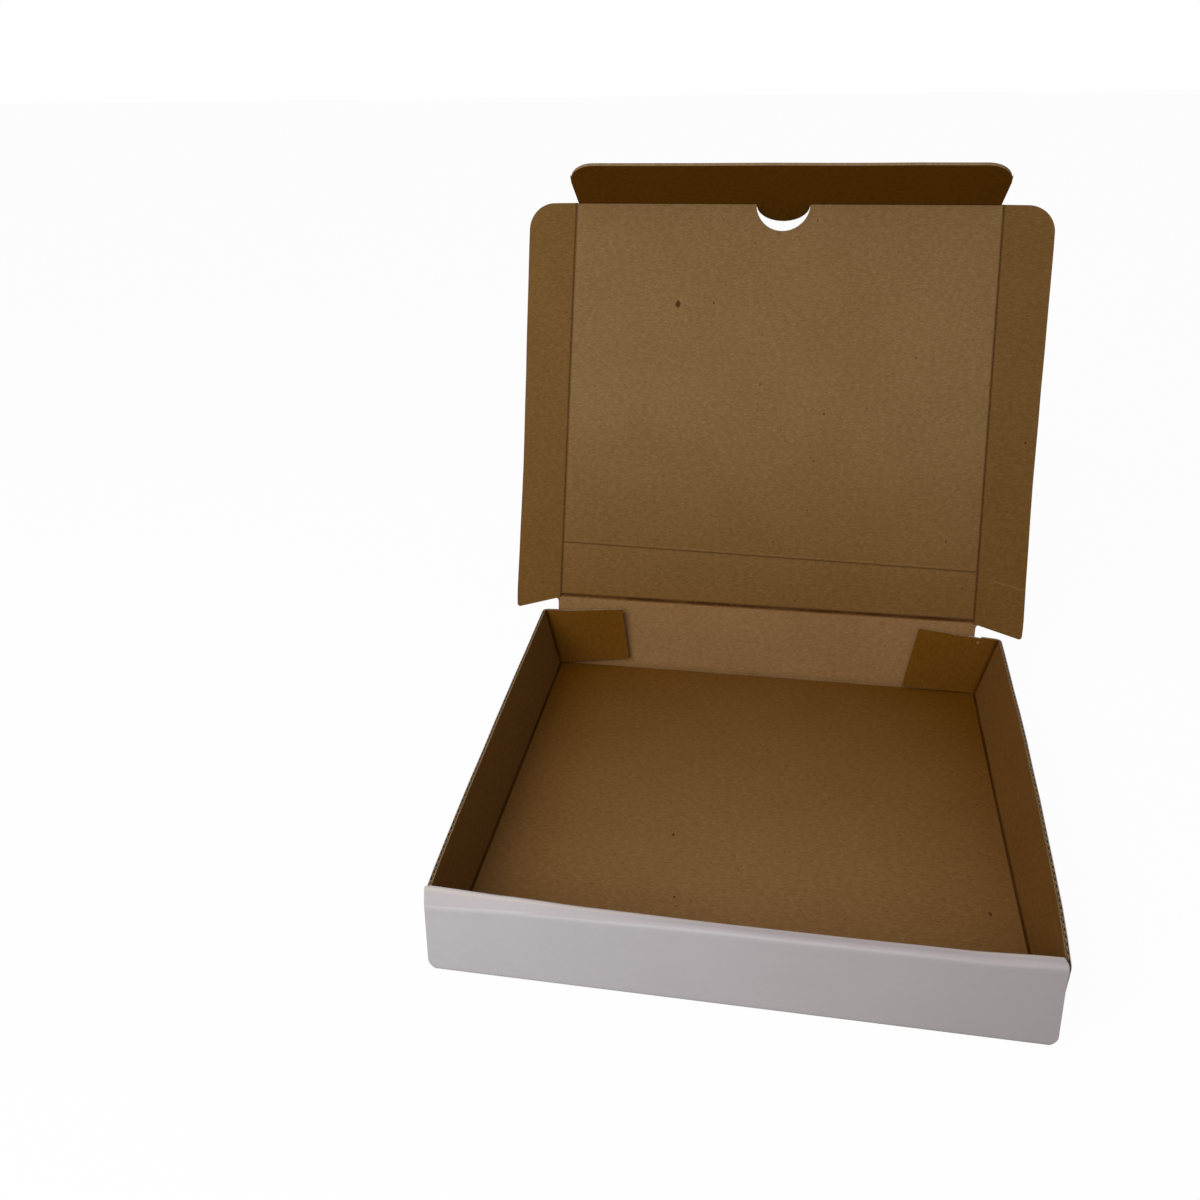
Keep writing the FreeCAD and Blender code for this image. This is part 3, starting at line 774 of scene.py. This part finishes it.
def addFront(piece):
    inner = roll["innerHalf"]
    columns = sorted(set(spread(-1, 1, 26) + [edge / inner for edge in slotSides] + [-0.985, 0.985]))
    outerY = -tray["halfDepth"] + half
    innerY = roll["innerY"] - half
    lines = []
    for share in columns:
        x = share * 107.5
        crease, top = throughPoints(roll["crease"], x), throughPoints(roll["top"], x)
        ripple = 0.25 * wander(x, 3, 22, 9)
        corners = [Vector((0, outerY + board["bend"], half)), Vector((0, outerY, half)),
                   Vector((0, outerY, crease + ripple)), Vector((0, innerY, top - half)),
                   Vector((0, innerY, lugs["top"]))]
        points = bentLine(corners, [board["bend"] * 0.98, *roll["bends"]], 5)
        # More rows on the outer wall, the rolled edge and the inner wall
        points = filledLine(points, {6: 26, 12: 4, len(points) - 2: 4})
        points.append(Vector((0, innerY, lugs["low"])))
        lines.append(points)
    total = len(lines[0])
    lip = total - 11  # the row where the fold along the inside begins
    travelled = distances(lines[0])
    mid, blank, fold = [], [], []
    for row in range(total):
        spots = []
        for column, share in enumerate(columns):
            point = lines[column][row]
            outerFace = row < lip - 10
            left, right = frontEnds(point.z if outerFace else 30.0)
            inward = within((point.y - outerY) / (innerY - outerY)) if row > 12 else 0.0
            left, right = lerp(left, roll["inside"][0], inward), lerp(right, roll["inside"][1], inward)
            if row > lip + 2:
                drop = min(1.0, (row - lip - 2) / 3)
                left, right = lerp(left, -inner, drop), lerp(right, inner, drop)
            x = lerp(left, right, (share + 1) / 2)
            bulge = 0.0
            if outerFace and point.z > 1.0:
                rise = math.sin(math.pi * min(1, point.z / 33))
                bulge = max(0.0, 0.28 * wander(x, point.z, 30, 21) * rise)
            spots.append((Vector((x, point.y + bulge, point.z)), (x, -tray["halfDepth"] - travelled[row]),
                          0.6 if lip <= row < lip + 3 else 0.0))
        addRow((mid, blank, fold), spots)

    def besideLugs(row, column):
        centre = (columns[column] + columns[column + 1]) / 2 * inner
        onLug = slotSides[0] < centre < slotSides[1] or slotSides[2] < centre < slotSides[3]
        return row == total - 2 and not onLug

    def frontShade(place):
        # Painted shade on the white paper: darker towards the right of the front wall, and more on the
        # rolled edge
        onRoll = shade["rolled"] if place.y > -107.9 else 0.0
        return shade["front"] * within((place.x + 109) / 218) ** 1.3 + onRoll

    piece.sheet(mid, blank, -1, joined=("first",), fluted=("left", "right"), gone=besideLugs, fold=fold,
                outerFold=1.0, outerPaintedShade=frontShade)
    return mid


notch = {"below": 2.6, "radius": 1.8}  # under the top of the back wall


def addBack(piece):
    lean = tray["backLean"]
    foot = Vector((0, tray["halfDepth"] - half, half))
    up = Vector((0, math.sin(lean), math.cos(lean)))
    corners = [foot - Vector((0, board["bend"], 0)), foot,
               foot + up * (tray["backHeight"] - tray["creaseGap"])]
    points = bentLine(corners, [board["bend"] * 0.98], 5)
    top = points.pop()
    shares = (0.1, 0.25, 0.4, 0.55, 0.7, 0.8, 0.86, 0.875, 0.885, 0.91, 0.935, 0.96, 0.972, 0.985, 1.0)
    points += [points[-1].lerp(top, share) for share in shares]
    mid, blank, fold = [], [], []
    for point, distance in zip(points, distances(points)):
        rise = within((distance - 2) / 34)
        sway = math.sin(math.pi * rise)
        below = (top - point).length
        width = tray["backHalfWidth"] + 1.5
        # The round end of the cut between the back wall and an ear
        offset = within((notch["below"] - below) / notch["radius"])
        width += notch["radius"] * (1 - math.sqrt(1 - offset ** 2)) * 0.7
        columns = spread(-width, width, 24)
        mid.append([Vector((x, point.y + 0.3 * sway * wander(x, distance, 40, 31), point.z))
                    for x in columns])
        blank.append([(x, tray["halfDepth"] + distance) for x in columns])
        # The crease mark at the foot of the back wall: wear, and painted shade in the inside corner
        fold.append([max(0.0, 1 - distance / 2.6) * (0.8 + 0.3 * wander(x, 1, 12, 6)) for x in columns])
    piece.sheet(mid, blank, 1, joined=("first", "last"), fluted=("left", "right"), fold=fold, deep=0.0)
    return mid


trayPiece = Folded(printSide)
addFloor(trayPiece)
rightWall = addSide(trayPiece, "right", 1)
leftWall = addSide(trayPiece, "left", -1)
frontGrid = addFront(trayPiece)
backGrid = addBack(trayPiece)
trayBoard = trayPiece.finish("tray_board", [trayKraft, plainLiner, cutBoard], "tray")
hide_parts("tray")

# The lid with its ears

lid = {
    "halfWidth": 105.8,
    "length": 204.5,
    "angle": math.radians(110.9),
    "hinge": Vector((0, 115.8757, 38.5271)),
    "notch": 13.4,  # radius of the finger notch
    "crease": 27.0,  # from the hinge to the pressed line, which slants a little
    "slant": math.radians(0.94),
    "earFold": math.radians(3.0),
    "earDrop": 8.0,  # how far an ear hangs past the hinge at its outer end
    "earRadius": 13.0,
    "earTip": 1.5,  # radius of its lower corner
    "cheek": 0.25,  # width and drop of its lower edge beside the hinge
    "cheekDrop": 1.6,
    # Width of the ears along the lid
    "earWidths": [(-8.0, 23.8), (0.0, 24.1), (25.0, 23.8), (66.0, 23.5), (110.0, 23.95), (144.0, 24.4),
                  (186.0, 24.83)],
    "earWidth": 24.9,
    "earFoot": 24.0,
    "bead": 0.16,  # height of a pressed line
}
lidAlong = Vector((0, -math.cos(lid["angle"]), math.sin(lid["angle"])))
lidInward = Vector((0, -math.sin(lid["angle"]), -math.cos(lid["angle"])))


def lidPlace(x, s, rise=0.0):
    return lid["hinge"] + Vector((x, 0, 0)) + lidAlong * s + lidInward * rise


def creaseBead(away):
    # A pressed line: a small ridge between two shallow grooves
    away = abs(away)
    if away < 0.55:
        return lid["bead"] * math.cos(away / 0.55 * math.pi / 2)
    if away < 1.5:
        return -0.5 * lid["bead"] * math.sin((away - 0.55) / 0.95 * math.pi)
    return 0.0


def warp(x, s):
    # The lid's slight unevenness, none near its folds
    edge = within((lid["halfWidth"] - abs(x)) / 30)
    ends = within(s / 40) * within((lid["length"] - s) / 30)
    return 0.35 * edge * ends * wander(x, s, 70, 41)


def lidShade(place):
    # Painted shade: the lid darker towards its foot
    return lerp(shade["lid"], 0.0, min(1.0, (place.z - 38) / 95))


def earShade(place):
    # Painted shade: the ears darker towards their foot
    return lerp(*shade["ear"], min(1.0, (place.z - 38) / 110))


def addLidPanel(piece):
    near = [-1.5, -1.0, -0.55, -0.28, 0.0, 0.28, 0.55, 1.0, 1.5]
    sides = [lid["halfWidth"] + step for step in near if step <= 0]
    arc = [lid["notch"] * math.sin(angle) for angle in spread(-math.pi / 2, math.pi / 2, 20)]
    flat = spread(20, 95, 8)
    columns = sorted(set([-x for x in flat + sides] + arc + flat + sides))
    lowRows = [tray["creaseGap"], 2.2, 4, 8, 14, 20]
    highRows = [34, 45, 60, 80, 100, 120, 140, 160, 175, 186]
    mid, blank, fold, bead = [], [], [], []
    levels = [("flat", s) for s in lowRows] + [("crease", step) for step in near]
    levels += [("flat", s) for s in highRows] + [("end", share) for share in (0.25, 0.5, 0.75, 0.9, 1.0)]
    for kind, value in levels:
        spots = []
        for x in columns:
            crease = lid["crease"] - x * math.tan(lid["slant"])
            top = lid["length"]
            if abs(x) < lid["notch"]:
                top -= math.sqrt(lid["notch"] ** 2 - x ** 2)
            s = value
            if kind == "crease":
                s = crease + value
            if kind == "end":
                s = lerp(highRows[-1], top, value)
            sideways = abs(x) - lid["halfWidth"]
            rise = creaseBead(s - crease)
            if abs(rise) < 1e-6:
                rise = creaseBead(sideways)
            line = max(1 - abs(s - crease + 0.6) / 0.6, 0.0) * 0.62
            line = max(line, (1 - min(1.0, abs(sideways) / 0.9)) * 0.75)
            spots.append((lidPlace(x, s, warp(x, s)), (x, s), line, rise))
        addRow((mid, blank, fold, bead), spots)
    piece.sheet(mid, blank, 1, joined=("first", "left", "right"), fold=fold, bead=bead, deep=lidShade)


def addEar(piece, sign):
    shares = [0.0, 0.012, 0.023, 0.04, 0.06]
    shares += [0.10 + 0.90 * math.sin(angle) for angle in spread(0.0, math.pi / 2, 18)]
    levels = [0.0, 0.01, 0.02, 0.04, 0.08, 0.12, 0.145, 0.16, 0.2, 0.25, 0.3] + spread(0.38, 0.86, 6)
    levels += [0.92, 0.96, 0.985, 1.0]
    tilt, width = lid["earFold"], lid["earWidth"]
    tipStart = lid["earFoot"] - lid["earTip"]
    mid, blank, fold, bead = [], [], [], []
    for level in levels:
        spots = []
        for share in shares:
            footOut = share * lid["earFoot"]
            low = tray["creaseGap"]
            if footOut > lid["cheek"]:
                along = min(1.0, (footOut - lid["cheek"]) / (tipStart - lid["cheek"]))
                low = -lerp(lid["cheekDrop"], lid["earDrop"], along)
            low += roundDrop(lid["earTip"], footOut - tipStart)
            top = lid["length"] - roundDrop(lid["earRadius"], share * width - (width - lid["earRadius"]))
            s = lerp(low, top, level)
            out = share * throughPoints(lid["earWidths"], s)
            sag = -0.5 * (out / width) ** 2 * wander(s, 9, 60, 51 + sign)
            spots.append((lidPlace(sign * (lid["halfWidth"] + out * math.cos(tilt)), s,
                                   -out * math.sin(tilt) + sag),
                          (sign * (lid["halfWidth"] + out), s),
                          (1 - min(1.0, out / 0.9)) * 0.75, creaseBead(out)))
        addRow((mid, blank, fold, bead), spots)
    piece.sheet(mid, blank, sign, joined=("left",), fluted=("right",), fold=fold, bead=bead,
                deep=earShade)
    return mid


lidPiece = Folded()
addLidPanel(lidPiece)
rightEar = addEar(lidPiece, 1)
leftEar = addEar(lidPiece, -1)
lidBoard = lidPiece.finish("lid_board", [lidKraft, printedLiner, cutBoard], "lid")
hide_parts("lid")

# The tuck flap

tuck = {
    "crease": Vector((0, 188.8286, 229.5719)),
    "fold": math.radians(67.0),
    "height": 31.0,
    "radius": 13.0,
    "foot": 104.6,
    "bulge": 1.3,  # how far each end stands out past its foot
    "moon": {"across": 13.2, "down": 13.0},
}
tuckAlong = lidAlong * math.cos(tuck["fold"]) + lidInward * math.sin(tuck["fold"])
tuckInward = lidInward * math.cos(tuck["fold"]) - lidAlong * math.sin(tuck["fold"])


def tuckPlace(x, s, rise=0.0):
    return tuck["crease"] + Vector((x, 0, 0)) + tuckAlong * s + tuckInward * rise


def addTuck(piece):
    wide = tuck["foot"] + tuck["bulge"]
    shares = spread(-0.87, 0.87, 26)
    outer = [0.87 + 0.13 * math.sin(angle) for angle in spread(0.0, math.pi / 2, 14)][1:]
    shares = sorted([-share for share in outer] + shares + outer)
    levels = [0.0, 0.04, 0.1, 0.2, 0.35, 0.5, 0.65, 0.8, 0.9, 0.96, 1.0]
    mid, blank, fold = [], [], []
    for level in levels:
        spots = []
        for share in shares:
            top = tuck["height"] - roundDrop(tuck["radius"], abs(share) * wide - (wide - tuck["radius"]))
            s = lerp(tray["creaseGap"], top, level)
            width = lerp(tuck["foot"], wide, min(1.0, s / (tuck["height"] - tuck["radius"])))
            x = share * width
            sway = 0.30 * (s / 31) ** 2 * abs(wander(x, 2, 60, 61))
            foldWearAndShade = max(0.0, 1 - (s - tray["creaseGap"]) / 1.2) * 0.25
            spots.append((tuckPlace(x, s, sway), (x, lid["length"] + s), foldWearAndShade))
        addRow((mid, blank, fold), spots)
    # Painted shade over the whole inner face of the tuck flap and of its half moon
    piece.sheet(mid, blank, 1, joined=("first",), fluted=("left", "right"), fold=fold, deep=shade["tuck"])
    # The half moon that was cut out of the lid
    angles = spread(-math.pi / 2, math.pi / 2, 20)
    outline = [(tuck["moon"]["across"] * math.sin(angle), -tuck["moon"]["down"] * math.cos(angle))
               for angle in angles]
    moon, moonBlank = [], []
    for level in spread(0, 1, 6):
        moon.append([tuckPlace(x, lerp(low, tray["creaseGap"], level)) for x, low in outline])
        moonBlank.append([(x, lid["length"] + level) for x, low in outline])
    piece.sheet(moon, moonBlank, 1, joined=("last",), deep=shade["tuck"])
    return mid


tuckPiece = Folded()
tuckGrid = addTuck(tuckPiece)
tuckBoard = tuckPiece.finish("tuck_board", [trayKraft, plainLiner, cutBoard], "tuck_flap")
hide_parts("tuck_flap")

# The two creases between the panels


def addCrease(name, centre, before, after, spans, blankStart, deep):
    # A soft strip from one panel over the crease to the next, thinner where the board is crushed
    piece = Folded()
    gap = tray["creaseGap"]
    start, end = centre - before * gap, centre + after * gap
    line = [start.lerp(centre, share).lerp(centre.lerp(end, share), share) for share in spread(0, 1, 8)]
    for low, high in spans:
        columns = spread(low, high, max(2, int((high - low) / 8)))
        mid, blank, fold, bead = [], [], [], []
        for index, point in enumerate(line):
            crush = math.sin(math.pi * index / 8)
            mid.append([point + Vector((x, 0, 0)) for x in columns])
            blank.append([(x, blankStart + lerp(-gap, gap, index / 8)) for x in columns])
            fold.append([crush * (0.95 + 0.35 * wander(x, 4, 14, 71)) for x in columns])
            bead.append([-0.45 * crush for x in columns])
        piece.sheet(mid, blank, 1, joined=("first", "last"), fold=fold, bead=bead, deep=deep)
    made = piece.finish(name, [trayKraft, plainLiner, cutBoard], None)
    tuple(start * mm)
    tuple(end * mm)
    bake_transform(made)


backUp = Vector((0, math.sin(tray["backLean"]), math.cos(tray["backLean"])))
# Both crease strips carry painted shade on their inner paper
addCrease("hinge_crease", lid["hinge"], backUp, lidAlong, [(-105.8, 105.8)], 0.0,
          shade["hinge"])
addCrease("tuck_crease", tuck["crease"], lidAlong, tuckAlong, [(-104.6, -13.2), (13.2, 104.6)],
          lid["length"], shade["tuckCrease"])

# The flutes that show at edges cut across them


def makeFluteTree():
    tree = bpy.data.node_groups.new("fluteWave", "GeometryNodeTree")
    face = tree.interface
    face.new_socket("Geometry", in_out="INPUT", socket_type="NodeSocketGeometry")
    sockets = {}
    for name in ("Pitch", "Height", "Looseness", "Seed"):
        sockets[name] = face.new_socket(name, in_out="INPUT", socket_type="NodeSocketFloat").identifier
    sockets["Paper"] = face.new_socket("Paper", in_out="INPUT", socket_type="NodeSocketMaterial").identifier
    face.new_socket("Geometry", in_out="OUTPUT", socket_type="NodeSocketGeometry")

    def node(kind, settings=None, inputs=None):
        made = tree.nodes.new(kind)
        for name, value in (settings or {}).items():
            setattr(made, name, value)
        for name, value in (inputs or {}).items():
            if isinstance(value, bpy.types.NodeSocket):
                tree.links.new(value, made.inputs[name])
            else:
                made.inputs[name].default_value = value
        return made

    def sums(operation, first, second=0.0):
        return node("ShaderNodeMath", {"operation": operation}, {0: first, 1: second}).outputs[0]

    source = node("NodeGroupInput").outputs
    painted = node("GeometryNodeInputNamedAttribute", {"data_type": "FLOAT"}, {"Name": "along"})
    along = painted.outputs["Attribute"]
    uneven = node("ShaderNodeTexNoise", {"noise_dimensions": "2D"},
                  {"Vector": node("ShaderNodeCombineXYZ", {}, {"X": along, "Y": source["Seed"]}).outputs[0],
                   "Scale": 60.0, "Detail": 1.0}).outputs[0]
    shift = sums("MULTIPLY", sums("SUBTRACT", uneven, 0.5), source["Looseness"])
    phase = sums("MULTIPLY", sums("DIVIDE", along, source["Pitch"]), 2 * math.pi)
    wave = sums("SINE", sums("ADD", phase, shift))
    height = sums("MULTIPLY", wave, source["Height"])
    normal = node("GeometryNodeInputNormal").outputs[0]
    offset = node("ShaderNodeVectorMath", {"operation": "SCALE"}, {0: normal, "Scale": height}).outputs[0]
    geometry = source["Geometry"]
    for kind, inputs in (("SetPosition", {"Offset": offset}), ("RealizeInstances", {}),
                         ("SetMaterial", {"Material": source["Paper"]})):
        geometry = node("GeometryNode" + kind, {}, {"Geometry": geometry, **inputs}).outputs[0]
    node("NodeGroupOutput", {}, {"Geometry": geometry})
    return tree, sockets


fluteTree, fluteSockets = makeFluteTree()


def ribbon(bm, along, edge, inward):
    # A flat strip between the liners, from the cut edge inwards, in steps of a tenth of a flute
    travelled = distances(edge)
    steps = max(8, int(travelled[-1] / board["pitch"] * 10))
    previous = None
    index = 0
    for step in range(steps + 1):
        distance = travelled[-1] * step / steps
        while index < len(travelled) - 2 and travelled[index + 1] < distance:
            index += 1
        share = (distance - travelled[index]) / max(1e-6, travelled[index + 1] - travelled[index])
        place = edge[index].lerp(edge[index + 1], share)
        into = inward[index].lerp(inward[index + 1], share).normalized()
        pair = [bm.verts.new((place + into * deep) * mm) for deep in (0.12, board["open"] - 0.1)]
        for vert in pair:
            vert[along] = distance * mm
        if previous:
            bm.faces.new([previous[0], pair[0], pair[1], previous[1]])
        previous = pair


def makeFlutes(name, edges, body, seed):
    bm = bmesh.new()
    along = bm.verts.layers.float.new("along")
    for edge, inward in edges:
        ribbon(bm, along, edge, inward)
    mesh = bpy.data.meshes.new(name)
    bm.to_mesh(mesh)
    bm.free()
    source = addObject(name + "_flat", mesh)
    wave = source.modifiers.new("flutes", "NODES")
    wave.node_group = fluteTree
    wave[fluteSockets["Pitch"]] = board["pitch"] * mm
    wave[fluteSockets["Height"]] = (half - board["liner"] - board["medium"] / 2) * mm
    wave[fluteSockets["Looseness"]] = board["loose"]
    wave[fluteSockets["Seed"]] = float(seed)
    wave[fluteSockets["Paper"]] = flutePaper
    thick = source.modifiers.new("paper", "SOLIDIFY")
    thick.thickness = board["medium"] * mm
    thick.offset = 0.0
    depsgraph = bpy.context.evaluated_depsgraph_get()
    solid = bpy.data.meshes.new_from_object(source.evaluated_get(depsgraph))
    bpy.data.objects.remove(source)
    solid.name = name
    made = addObject(name, solid)
    for polygon in solid.polygons:
        polygon.use_smooth = True
    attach(made, body)
    print("made", name, len(solid.polygons), "faces")


def lastRow(mid):
    edge = mid[-1]
    return edge, [mid[-2][column] - place for column, place in enumerate(edge)]


def lastColumn(mid, column=-1, behind=-2):
    centre = mid[len(mid) // 2]
    return [row[column] for row in mid], [centre[behind] - centre[column]] * len(mid)


trayEdges = [lastRow(rightWall), lastRow(leftWall)]
for grid in (frontGrid, backGrid):
    trayEdges += [lastColumn(grid), lastColumn(grid, 0, 1)]
makeFlutes("tray_flutes", trayEdges, "tray", board["seed"])
makeFlutes("lid_flutes", [lastColumn(rightEar), lastColumn(leftEar)], "lid", board["seed"] + 1)
makeFlutes("tuck_flutes", [lastColumn(tuckGrid), lastColumn(tuckGrid, 0, 1)], "tuck_flap",
           board["seed"] + 2)

# Stage, light and camera

studio = {
    "sky": 0.44,
    "floorSize": 6.0,
    "floorColour": (0.82, 0.82, 0.82),
    "floorBounce": (0.30, 0.29, 0.28),  # what the floor throws back on the object
    "floorGlow": 0.965,  # the share of plain white in what the camera sees of the floor
    "lamp": {"place": (-0.38, -0.68, 0.64), "aim": (0.0, 0.05, 0.10), "size": 0.7, "power": 6.7},
}


def seenShare(start):
    # 1 for what the camera sees, straight, mirrored or through something clear
    rays = [start.node("ShaderNodeLightPath", {}, {}, output) for output in (0, 3, 6)]
    return rays[0].sums("MAXIMUM", rays[1]).sums("MAXIMUM", rays[2])


def emptyTree(owner):
    owner.use_nodes = True
    owner.node_tree.nodes.clear()
    return Wire(owner.node_tree)


def makeStage():
    world = bpy.data.worlds.new("studioWorld")
    bpy.context.scene.world = world
    start = emptyTree(world)
    whiteLight = (1.0, 1.0, 1.0, 1.0)
    plain, shown = (start.node("ShaderNodeBackground", {}, {"Color": whiteLight, "Strength": power})
                    for power in (studio["sky"], 1.0))
    both = start.node("ShaderNodeMixShader", {}, {0: seenShare(start), 1: plain, 2: shown})
    start.node("ShaderNodeOutputWorld", {}, {"Surface": both})

    mesh = bpy.data.meshes.new("studioFloor")
    reach = studio["floorSize"]
    corners = [(-reach, -reach, 0), (reach, -reach, 0), (reach, reach, 0), (-reach, reach, 0)]
    mesh.from_pydata(corners, [], [(0, 1, 2, 3)])
    floor = addObject("studioFloor", mesh)
    material = bpy.data.materials.new("studioFloor")
    start = emptyTree(material)
    seen = seenShare(start)
    colour = mixed(seen, studio["floorBounce"], studio["floorColour"])
    matt = start.node("ShaderNodeBsdfDiffuse", {}, {"Color": colour})
    glow = start.node("ShaderNodeEmission", {}, {"Color": whiteLight, "Strength": 1.0})
    both = start.node("ShaderNodeMixShader", {}, {0: seen * studio["floorGlow"], 1: matt, 2: glow})
    start.node("ShaderNodeOutputMaterial", {}, {"Surface": both})
    mesh.materials.append(material)


def makeLamp():
    lamp = bpy.data.lights.new("softBox", "AREA")
    lamp.shape = "DISK"
    lamp.size = studio["lamp"]["size"]
    lamp.energy = studio["lamp"]["power"]
    made = addObject("softBox", lamp)
    place, aim = Vector(studio["lamp"]["place"]), Vector(studio["lamp"]["aim"])
    made.location = place
    made.rotation_euler = (aim - place).to_track_quat("-Z", "Y").to_euler()


view = {
    "place": (8.83, -387.13, 308.56),
    "right": (0.98460, 0.17371, -0.01972),
    "down": (0.05671, -0.42404, -0.90387),
    "forward": (-0.16538, 0.88883, -0.42736),
    "lens": 32.62,
    "sensor": 36.0,
    "shift": (0.0009, -0.0428),
}


def makeCamera():
    data = bpy.data.cameras.new("photoView")
    data.lens = view["lens"]
    data.sensor_width = view["sensor"]
    data.shift_x, data.shift_y = view["shift"]
    data.clip_start, data.clip_end = 0.01, 50.0
    camera = addObject("photoView", data)
    right, down, forward = (Vector(view[name]) for name in ("right", "down", "forward"))
    turn = Matrix((right, -down, -forward)).transposed().to_4x4()
    camera.matrix_world = Matrix.Translation(Vector(view["place"]) * mm) @ turn
    bpy.context.scene.camera = camera


makeStage()
makeLamp()
makeCamera()
bpy.context.scene.view_settings.view_transform = "Standard"
print("stage, light and camera ready")
